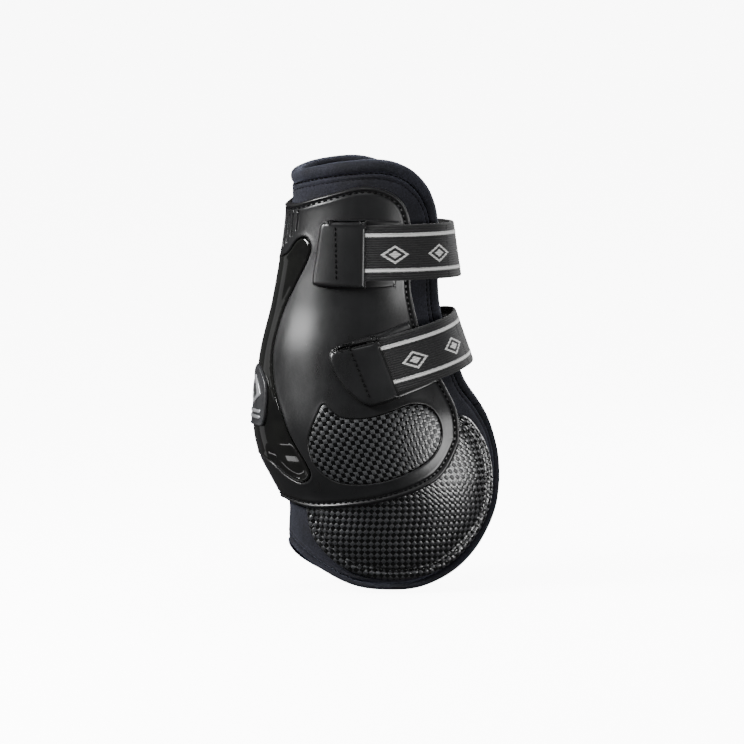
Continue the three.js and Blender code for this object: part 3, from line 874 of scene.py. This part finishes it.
# ---- spine insert and badge
def insert_height(p):
    """A crowned strip with a soft rim, which sinks to a dish in each lower lobe."""
    edge = distance_to(p, insert_loop)
    turn, z = WRAP.unflat(p)
    turn = np.abs(turn)
    lobe = np.clip((76 - z) / 4.5, 0, 1) * smoothstep(turn, 12, 20)
    rim = 0.3 * np.exp(-((edge - 1.3) / 0.9)**2) * (1 - lobe)
    crown = 0.5 * (1 - np.clip(turn / 20, 0, 1)**2)
    dish = -1.7 * smoothstep(edge, 0.9, 3.6) * lobe
    return SHELL_OUT - 0.35 + crown * (1 - lobe) + dish + rim + 0.12 * lobe


INSERT_EDGE = [(0, -0.9), (0.12, -0.4), (0.35, -0.06), (0.7, 0.06), (1.1, 0.05)]
plate("gloss_insert", WRAP, [insert_loop], [INSERT_EDGE], insert_height, GAP, 1.3, "gloss", step=0.8,
      replaces=["spine_insert"])

BADGE_TOP = SHELL_OUT + 1.5
BADGE_EDGE = [(0, -1.0), (0.12, -0.45), (0.35, -0.08), (0.6, 0.0), (1.0, 0.02), (1.25, -0.18), (1.5, -0.3)]
RELIEF_EDGE = [(0, -0.3), (0.15, -0.08), (0.35, 0.0)]
# The crest is in millimetres from the spine, and its hole in degrees.
CREST = [(0, 111.5), (5.5, 106.5), (8.5, 101.5), (4.0, 98.5), (0, 96)]
CREST_HOLE = [(0, 108), (3.4, 105), (5.2, 101.6), (2.4, 99.8), (0, 98.2)]
badge_side = spline(BADGE)
badge_loop = WRAP.flat(np.concatenate([badge_side, mirror(badge_side)[::-1][:-1]]))
plate("spine_badge", WRAP, [even_loop(badge_loop, 0.6)], [BADGE_EDGE], BADGE_TOP, SHELL_OUT - 0.5, 1.1,
      "badge", relief=lambda p: -0.3, step=0.6, replaces=["badge_plate"])
crest = resample(mirrored(np.array(CREST, float)), 0.8, True)
crest_hole = resample(WRAP.flat(mirrored(np.array(CREST_HOLE, float))), 0.8, True)
for name, loops in (("badge_crest", [crest, crest_hole]),
                    ("badge_bar_upper", [stadium((-8.5, 92.6), (8.5, 92.6), 0.9)]),
                    ("badge_bar_lower", [stadium((-8.5, 89.6), (8.5, 89.6), 0.9)])):
    plate(name, WRAP, loops, [RELIEF_EDGE] * len(loops), BADGE_TOP + 0.1, BADGE_TOP - 0.6, 1.0, "relief",
          step=0.6)


# ---- woven inlays and pastern guards
def weave(loop, size, tilt, height, points=5):
    """A lattice set to the weave, its relief of square tows, over and under in turn, and its coordinates."""
    low, high = loop.min(0) - size, loop.max(0) + size
    centre = (low + high) / 2
    c, s = math.cos(tilt), math.sin(tilt)
    reach = int(np.abs(high - low).sum() / 2 / size) + 2
    offsets = (np.arange(points) - (points - 1) / 2) * (2 / points) * 0.94
    at = (np.arange(-reach, reach)[:, None] + 0.5 * offsets[None, :]).ravel()
    x, y = (v.ravel() * size for v in np.meshgrid(at, at))
    lattice = np.stack([centre[0] + x * c - y * s, centre[1] + x * s + y * c], -1)

    def cells(p):
        q = p - centre
        return np.stack([(q[:, 0] * c + q[:, 1] * s) / size, (-q[:, 0] * s + q[:, 1] * c) / size], -1)

    def relief(p):
        x, y = cells(p).T
        i, j = np.round(x), np.round(y)
        a, b = (x - i) * 2, (y - j) * 2
        over = (i + j) % 2 == 0
        along, side = np.where(over, b, a), np.where(over, a, b)
        bow = 0.4 + 0.6 * np.cos(np.clip(along, -1, 1) * math.pi / 2)**0.55
        flat = np.sqrt(np.clip(1 - 0.9 * np.abs(side)**3.5, 0, 1))
        sunk = 0.75 * np.sqrt(np.clip(1 - 0.97 * side**2, 0, 1))
        return height * (bow * np.where(over, sunk, flat) - 0.35)

    return lattice, relief, cells


INLAY_EDGE = [(0, -0.5), (0.1, -0.16), (0.3, 0.0)]


def inlay(side, sign):
    """The woven inlay in the shell's recess."""
    mapper = Leg(78 * sign)
    loop = mapper.flat(spline(np.array(INLAY) * (sign, 1), closed=True))
    lattice, relief, cells = weave(loop, 2.25, math.radians(7 * sign), 0.5)
    edge = resample(loop, 0.7, True)

    def faded(p):
        return relief(p) * smoothstep(distance_to(p, edge), 0.4, 1.4)

    plate(f"inlay_{side}", mapper, [loop], [INLAY_EDGE], SHELL_OUT - 0.3, SHELL_OUT - 1.8, 0.45, "inlay",
          relief=faded, lattice=lattice, pattern=cells, step=0.7, replaces=[f"woven_inlay_{side}"])


GUARD_SEAMS = (4.1, 5.9)  # from the guard's outer edge
GUARD_RIM = [(0, -0.8), (0.15, -0.35), (0.4, -0.05), (0.7, 0.05)]


def guard(side, sign):
    """The woven panel of the pastern flap, pulled in along two seams."""
    mapper = Leg(85 * sign)
    loop = mapper.flat(np.concatenate([spline(GUARD_EDGE), spline(GUARD_TOP)[::-1][1:-1]]) * (sign, 1))
    rim = mapper.flat(spline(GUARD_EDGE) * (sign, 1))
    lattice, relief, cells = weave(loop, 2.2, math.radians(45), 0.62)

    def sewn(p):
        e = distance_to(p, rim, closed=False)
        groove = sum(np.exp(-((e - seam) / 0.5)**2) for seam in GUARD_SEAMS)
        pucker = 0.15 * ripple(p[:, 0], p[:, 1], 4.2, 9) * np.exp(-((e - 4.6) / 3.0)**2)
        swell = 0.55 * smoothstep(e, 6.2, 13) + 0.35 * np.exp(-((e - 2.2) / 1.5)**2)
        return relief(p) * (1 - 0.45 * np.clip(groove, 0, 1)) - 0.55 * groove + pucker + swell

    plate(f"guard_{side}", mapper, [loop], [GUARD_RIM], GAP + 1.0, GAP, 0.45, "guard", relief=sewn,
          lattice=lattice, pattern=cells, step=0.8, replaces=[f"pastern_guard_{side}"])
    seam_rim = resample(rim, 0.8)
    inward = normals(seam_rim, False)
    if not inside((seam_rim + inward * 2)[20:21], loop)[0]:
        inward = -inward
    for k, seam in enumerate(GUARD_SEAMS):
        stitch_row(f"guard_stitching_{side}_{k + 1}", mapper, (seam_rim + inward * seam)[3:-3], GAP + 0.62,
                   (2.9, 2.1, 0.26), "woven")


for side, sign in (("near", 1), ("far", -1)):
    inlay(side, sign)
    guard(side, sign)

# ---- straps (as in the CAD)
ELASTIC, ELASTIC_WIDTH, ELASTIC_IN, TAPE, TAB, TAB_SKIN = 1.4, 28.8, 5.1, 1.0, 2.8, 0.3
ELASTIC_IN_FAR = SHELL_OUT + 3 * GAP + 2 * TAPE + TAB_SKIN
TILT_REACH = 36  # mm over which the tilted strap rises by its rise
# anchored, exit and tab are turns: the sewn line, the anchor's mouth and the tab's start.
STRAPS = {
    "upper": dict(middle=176, rise=0, front=47.4, lean=0.15, anchored=58, exit=77, tab=276, side=75,
                  past_seam=2.0),
    "lower": dict(middle=118.3, rise=13, front=51, lean=0, anchored=73, exit=89, tab=270, side=88,
                  past_seam=3.0),
}
ANCHORS = {
    "upper": [(50, 192.2), (47, 188), (46.2, 162), (48.8, 159), (60, 158.2), (80, 157.6), (99, 158.2),
              (101, 160), (102.5, 190), (100.5, 192), (80, 193), (60, 192.9)],
    "lower": [(62, 126), (61, 120.5), (66.5, 109), (72.8, 100.4), (77, 97.6), (81, 98), (99, 103.8),
              (115, 109), (116.5, 111.5), (110, 137.6), (106, 139.4), (92, 135.2), (76, 131.2), (66, 128.4)],
}


class Strap:
    """Flat coordinates for a piece on a strap: x is the length along it from the anchor's mouth, y across."""

    def __init__(self, name):
        self.__dict__.update(STRAPS[name])
        self.name = name
        self.turns = np.arange(40, 330, 1.0)
        p = self.point(self.turns, 0, 0)
        self.run = np.concatenate([[0], np.cumsum(np.linalg.norm(np.diff(p, axis=0), axis=1))])
        self.run -= np.interp(self.exit, self.turns, self.run)

    def point(self, turn, y, d):
        """Points on the strap's inner face: it follows the shell, and bridges the open front."""
        turn, y, d = np.broadcast_arrays(np.asarray(turn, float), np.asarray(y, float), np.asarray(d, float))
        c, s = np.cos(np.radians(turn)), np.sin(np.radians(turn))
        tilt = math.atan2(self.rise, TILT_REACH)
        middle = self.middle - self.rise * c
        z = middle + y * math.cos(tilt)
        lift = mix(ELASTIC_IN, ELASTIC_IN_FAR, smoothstep(turn, 120, 240))
        away = np.minimum(turn, 360 - turn)
        bridging = smoothstep(away, 118, 174)
        back, front, half = section(middle)
        centre = (back + front) / 2
        reach = mix((front - back) / 2 + lift, self.front - centre, bridging) + d
        x = centre - reach * c - y * (math.sin(tilt) + self.lean * bridging)
        bridged = np.stack([x, -(half + lift + d) * s, z], -1)
        back, front, _ = section(z)
        share = ((back + front) / 2 - x) / ((front - back) / 2 + lift + d)
        laid = leg(np.sign(s) * np.degrees(np.arccos(np.clip(share, -1, 1))), z, lift + d)
        k = smoothstep(away, 102, 132)[..., None]
        return laid * (1 - k) + bridged * k

    def place(self, xy, d):
        return self.point(np.interp(xy[:, 0], self.run, self.turns), xy[:, 1], d)

    def at(self, turn):
        return float(np.interp(turn, self.turns, self.run))

    def middle_at(self, turn):
        """A point on the strap's middle line, in metres."""
        return Vector(self.point(turn, 0, 0)) * MM


RIB_PITCH, KNIT_PITCH = 1.2, 2.1


def elastic(strap, part, start, end, bend, replaced):
    """A length of ribbed webbing from one turn to another, riding on no body. bend is not used beyond points that
    are worked out and dropped.
    """
    a, b = strap.at(start), strap.at(end)
    half = ELASTIC_WIDTH / 2
    rows = max(8, int((b - a) / 0.8))
    x, y = np.meshgrid(np.linspace(a, b, rows), np.linspace(-half, half, 145), indexing="ij")
    edge = np.minimum(1, np.sqrt(np.clip((half - np.abs(y)) / 0.5, 0, 1)))
    rib = np.cos(2 * math.pi * y / RIB_PITCH)
    knit_rows = 0.03 * np.sin(2 * math.pi * x / KNIT_PITCH + np.round(y / RIB_PITCH) * math.pi)
    stripe = 0.12 * (np.abs(np.abs(y) - STRIPE_AT) < STRIPE_HALF)
    thick = ELASTIC / 2 * (0.25 + 0.75 * edge)
    outer = ELASTIC / 2 + thick + (0.14 * rib + knit_rows + stripe) * edge
    inner = ELASTIC / 2 - thick + 0.05 * rib * edge
    flat = np.stack([x, y], -1)
    up = strap.place(flat.reshape(-1, 2), outer.ravel()).reshape(*x.shape, 3)
    down = strap.place(flat.reshape(-1, 2), inner.ravel()).reshape(*x.shape, 3)
    points = np.concatenate([up, down[:, ::-1]], axis=1)[:, ::-1]
    uv = np.concatenate([flat, flat[:, ::-1]], axis=1)[:, ::-1]
    obj = tube(f"{strap.name}_elastic_{part}", points, "webbing", None, uv=uv,
               replaces=[f"{strap.name}_elastic_{length}" for length in replaced])
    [strap.middle_at(turn) for turn in bend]
    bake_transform(obj)


def webbing(strap):
    """The elastic in three lengths."""
    near_end, far_start = (strap.exit + 180) / 2 + 14, (180 + strap.tab) / 2 - 4
    elastic(strap, "near", strap.exit - 4, near_end, (strap.exit + 4.6, strap.exit + 18),
            ["sewn_end", "near_run"])
    elastic(strap, "front", near_end, far_start, (158, 202), ["far_run"])
    elastic(strap, "far", far_start, strap.tab + 8, (strap.tab - 10, strap.tab + 1),
            ["tab_end"])


def onto_strap(strap, line):
    """A line of (turn, height) points in the strap's flat coordinates, as the nearest points of a fine grid."""
    x, y = np.meshgrid(np.linspace(strap.at(42), strap.at(130), 160), np.linspace(-22, 22, 90), indexing="ij")
    flat = np.stack([x.ravel(), y.ravel()], -1)
    sheet = strap.place(flat, 0.0)
    return flat[[int(np.argmin(((sheet - p)**2).sum(1))) for p in leg(line[:, 0], line[:, 1], ELASTIC_IN)]]


def cap_loop(strap, mouth):
    """The anchor's outline, cut off square at the mouth."""
    line = resample(onto_strap(strap, spline(ANCHORS[strap.name], closed=True)), 1.0, True)
    for _ in range(6):
        line = 0.5 * line + 0.25 * (np.roll(line, 1, 0) + np.roll(line, -1, 0))
    line = line[line[:, 0] < mouth - 0.6]
    line = line[np.argsort(np.unwrap(np.arctan2(line[:, 1], (mouth - 4) - line[:, 0])))]
    first, last = line[0, 1], line[-1, 1]
    corners = [(mouth - 0.35, last), (mouth, last - np.sign(last) * 0.9),
               (mouth, first - np.sign(first) * 0.9), (mouth - 0.35, first)]
    return even_loop(np.concatenate([line, corners]), 0.8)


FLANGE_EDGE = [(0, -0.35), (0.5, -0.1), (1.1, 0.04), (1.7, 0.0)]
CAP_EDGE = [(0, -2.3), (0.15, -1.75), (0.45, -1.0), (0.9, -0.42), (1.5, -0.08), (2.2, 0.03), (3.2, 0.0)]
CAP_TOP = ELASTIC + 1.05


def anchor(strap):
    """The moulded end that is sewn to the shell: a flange, and a cap that the elastic comes out of."""
    name = strap.name
    mapper = Leg(strap.side)
    loop = mapper.flat(spline(ANCHORS[name], closed=True))
    low, high = loop[:, 0].min(), loop[:, 0].max()

    def flange_height(p):
        share = (p[:, 0] - low) / (high - low)
        return SHELL_OUT + mix(1.5, 0.55, smoothstep(share, 0.45, 1.0))

    plate(f"{name}_anchor_flange", mapper, [loop], [FLANGE_EDGE], flange_height, SHELL_OUT + 0.05, 2.0,
          "shell", step=0.9, replaces=[f"{name}_strap_anchor"])
    mouth = strap.at(strap.exit) + 3.2

    def cap_height(p):
        return CAP_TOP - 0.25 * smoothstep(p[:, 0], mouth - 3.5, mouth)

    plate(f"{name}_anchor_cap", strap, [cap_loop(strap, mouth)], [CAP_EDGE], cap_height, -0.6, 2.0, "shell",
          step=0.8)
    seam = across(strap.at(strap.anchored) + strap.past_seam, 13.8)
    stitch_row(f"{name}_anchor_stitching", strap, seam, CAP_TOP - 0.02, (2.6, 1.9, 0.42), "moulded_shell")


def across(x, half):
    """A flat line across a strap."""
    return np.stack([np.full(40, x), np.linspace(-half, half, 40)], -1)


TAB_EDGE = [(0, -1.5), (0.12, -0.95), (0.4, -0.4), (0.9, -0.08), (1.6, 0.08), (2.6, 0.0)]
TAB_TOP = TAB - TAB_SKIN
TAB_LENGTH = 40  # in degrees of turn
GRIP_BAR = [(0, 0.0), (0.25, 0.3), (0.6, 0.5), (0.9, 0.52)]
GRIP_BARS = (5.0, 8.4, 11.8)  # from the tab's end
HOOK_EDGE = [(0, -0.2), (0.3, 0.0)]
LOOP_EDGE = [(0, -0.45), (0.25, -0.12), (0.6, 0.0)]


def pull_tab(strap):
    """The tab with its grip bars and sewn line, its hook tape, and the loop tape on the shell."""
    name = strap.name
    start, end = strap.at(strap.tab), strap.at(strap.tab + TAB_LENGTH)
    half = ELASTIC_WIDTH / 2 * 1.06
    bars = [(stadium((end - k, -7.5), (end - k, 7.5), 1.1), GRIP_BAR) for k in GRIP_BARS]
    plate(f"{name}_tab", strap, [rounded_box(start, end, -half, half, 4.5, taper=0.78)], [TAB_EDGE], TAB_TOP,
          -TAB_SKIN, 1.8, "shell", f"{name}_tab", marks=bars, step=0.9, replaces=[f"{name}_pull_tab"])
    stitch_row(f"{name}_tab_stitching", strap, across(start + 7.0, 12.5), TAB_TOP + 0.03, (2.6, 1.9, 0.4),
               "moulded_shell", f"{name}_tab")

    hooks = rounded_box(start + 1.2, end - 3.2, -half * 0.87, half * 0.87, 2.0, taper=0.8)
    low = -TAB_SKIN - GAP - TAPE
    plate(f"{name}_hook_tape", strap, [hooks], [HOOK_EDGE], low + TAPE, low + 0.1, 0.9, "tape", f"{name}_tab",
          step=0.9, replaces=[f"{name}_hook_pad"])

    def fuzz(p):
        return 0.16 * np.sin(p[:, 0] * 5.2 + 1.3 * np.sin(p[:, 1] * 3.1)) * np.sin(p[:, 1] * 5.7)

    loops = rounded_box(strap.at(strap.tab - 10), end + 0.8, -half * 0.92, half * 0.92, 2.5, taper=0.85)
    low = -TAB_SKIN - 2 * GAP - 2 * TAPE
    plate(f"{name}_loop_tape", strap, [loops], [LOOP_EDGE], low + TAPE - 0.1, low, 0.7, "tape", relief=fuzz,
          step=0.9, replaces=[f"{name}_loop_pad"])


for name in STRAPS:
    strap = Strap(name)
    anchor(strap)
    webbing(strap)
    pull_tab(strap)

# ---- floor, world and lights
BACKDROP = 9.0  # brightness of the floor and of the world where the camera sees it
FLOOR_Z, FLOOR_HALF = -0.0015, 9
floor_mesh = bpy.data.meshes.new("floor")
corners = [(-1, -1), (1, -1), (1, 1), (-1, 1)]
floor_mesh.from_pydata([(x * FLOOR_HALF, y * FLOOR_HALF, FLOOR_Z) for x, y in corners], [], [(0, 1, 2, 3)])
floor_material, _, floor_shader = principled("floor", (0.9, 0.9, 0.9), 0.9, Emission_Strength=BACKDROP)
floor_shader.inputs["Emission Color"].default_value = (1, 1, 1, 1)
floor_mesh.materials.append(floor_material)
floor = bpy.data.objects.new("floor", floor_mesh)
bpy.context.scene.collection.objects.link(floor)
floor.visible_glossy = floor.visible_diffuse = floor.visible_shadow = False

world = bpy.data.worlds.new("studio")
world.use_nodes = True
nt = world.node_tree
room = nt.nodes["Background"]
room.inputs["Color"].default_value, room.inputs["Strength"].default_value = (1, 1, 1, 1), 0.07
seen = node(nt, "ShaderNodeBackground", Color=(1, 1, 1, 1), Strength=BACKDROP)
pick = nt.nodes.new("ShaderNodeMixShader")
nt.links.new(nt.nodes.new("ShaderNodeLightPath").outputs["Is Camera Ray"], pick.inputs[0])
nt.links.new(room.outputs[0], pick.inputs[1])
nt.links.new(seen.outputs[0], pick.inputs[2])
nt.links.new(pick.outputs[0], nt.nodes["World Output"].inputs["Surface"])
bpy.context.scene.world = world


def softbox(name, azimuth, elevation, distance, size, watts, height=0.11):
    """A rectangular light that faces a point on the axis at a height. Degrees, metres and watts."""
    light = bpy.data.lights.new(name, "AREA")
    light.shape, light.size, light.size_y, light.energy = "RECTANGLE", size[0], size[1], watts
    obj = bpy.data.objects.new(name, light)
    bpy.context.scene.collection.objects.link(obj)
    toward = outward(math.radians(azimuth), math.radians(elevation))
    obj.location = toward * distance + Vector((0, 0, height))
    obj.rotation_mode = "QUATERNION"
    obj.rotation_quaternion = (-toward).to_track_quat("-Z", "Y")
    return obj


softbox("key_left", -74, 27, 1.0, (0.56, 0.22), 22)
softbox("key_right", 42, -3, 1.0, (0.5, 0.3), 8, 0.1)
softbox("front_fill", -8, 48, 1.6, (0.5, 0.35), 2)
softbox("rim_left", -128, 8, 1.0, (0.3, 1.2), 0.3)
softbox("lobe_glint", -92, -28, 1.0, (0.26, 0.1), 0.18)
softbox("rim_right", 122, 14, 1.0, (0.3, 0.9), 9)
softbox("low_glint", -79, 35, 1.0, (0.2, 0.2), 5)
softbox("top", 0, 90, 2.4, (3.2, 3.2), 110).visible_glossy = False
